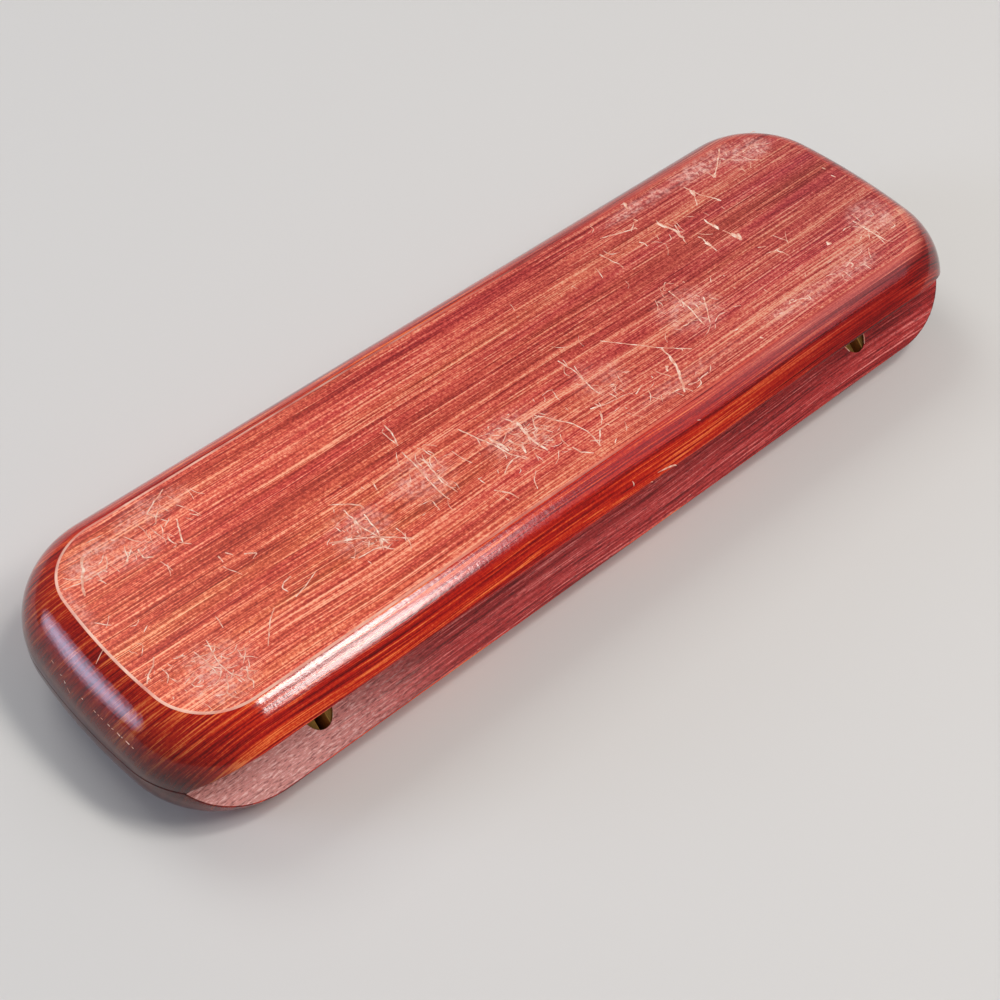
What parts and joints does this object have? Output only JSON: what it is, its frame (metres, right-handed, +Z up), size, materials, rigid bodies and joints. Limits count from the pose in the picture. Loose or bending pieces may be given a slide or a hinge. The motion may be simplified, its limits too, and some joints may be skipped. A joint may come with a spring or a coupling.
{
  "type": "hinged pen box",
  "caption": "Long flat two-part wooden pen box with rounded edges, a V groove along the hinge side, concealed barrel hinges and a lined inside.",
  "frame": {"origin": "middle of the flat underside, midway between the two long sides' widest lines, with the case lying closed", "axes": "+X along the case, +Y towards the hinge side, +Z up through the lid"},
  "size_m": [0.168, 0.0533, 0.021],
  "materials": {
    "lacquered_rosewood": "gloss lacquer over straight-grained reddish rosewood",
    "hinge_brass": "turned, slightly dulled",
    "pin_steel": "plain",
    "magnet_nickel": "nickel plated",
    "velour_flock": "short black pile"
  },
  "bodies": {
    "base": {"base_shell": "lacquered_rosewood", "pen_tray": "velour_flock", "base_barrel_left": "hinge_brass", "base_pins_left": "pin_steel", "base_magnet_left": "magnet_nickel", "base_barrel_right": "hinge_brass", "base_pins_right": "pin_steel", "base_magnet_right": "magnet_nickel"},
    "lid": {"lid_shell": "lacquered_rosewood", "lid_pad": "velour_flock", "lid_barrel_left": "hinge_brass", "lid_pins_left": "pin_steel", "lid_magnet_left": "magnet_nickel", "lid_barrel_right": "hinge_brass", "lid_pins_right": "pin_steel", "lid_magnet_right": "magnet_nickel"},
    "base_link_left": {"base_link_left": "hinge_brass", "centre_pin_left": "pin_steel"},
    "lid_link_left": {"lid_link_left": "hinge_brass"},
    "base_link_right": {"base_link_right": "hinge_brass", "centre_pin_right": "pin_steel"},
    "lid_link_right": {"lid_link_right": "hinge_brass"}
  },
  "joints": [
    {"name": "lid_hinge", "type": "hinge", "parent": "base", "child": "lid", "pos_m": [0, 0.02185, 0.0105], "axis": [-1, 0, 0], "range_deg": [0, 106]},
    {"name": "base_link_pivot_left", "type": "hinge", "parent": "base", "child": "base_link_left", "pos_m": [-0.0575, 0.02064, 0.009], "axis": [-1, 0, 0], "range_deg": [0, 85]},
    {"name": "lid_link_pivot_left", "type": "hinge", "parent": "lid", "child": "lid_link_left", "pos_m": [-0.0575, 0.02064, 0.012], "axis": [1, 0, 0], "range_deg": [0, 85]},
    {"name": "base_link_pivot_right", "type": "hinge", "parent": "base", "child": "base_link_right", "pos_m": [0.0575, 0.02064, 0.009], "axis": [-1, 0, 0], "range_deg": [0, 85]},
    {"name": "lid_link_pivot_right", "type": "hinge", "parent": "lid", "child": "lid_link_right", "pos_m": [0.0575, 0.02064, 0.012], "axis": [1, 0, 0], "range_deg": [0, 85]}
  ],
  "couplings": [
    {"joint": "base_link_pivot_left", "follows": "lid_hinge", "ratio": 0.8},
    {"joint": "lid_link_pivot_left", "follows": "lid_hinge", "ratio": 0.8},
    {"joint": "base_link_pivot_right", "follows": "lid_hinge", "ratio": 0.8},
    {"joint": "lid_link_pivot_right", "follows": "lid_hinge", "ratio": 0.8}
  ]
}
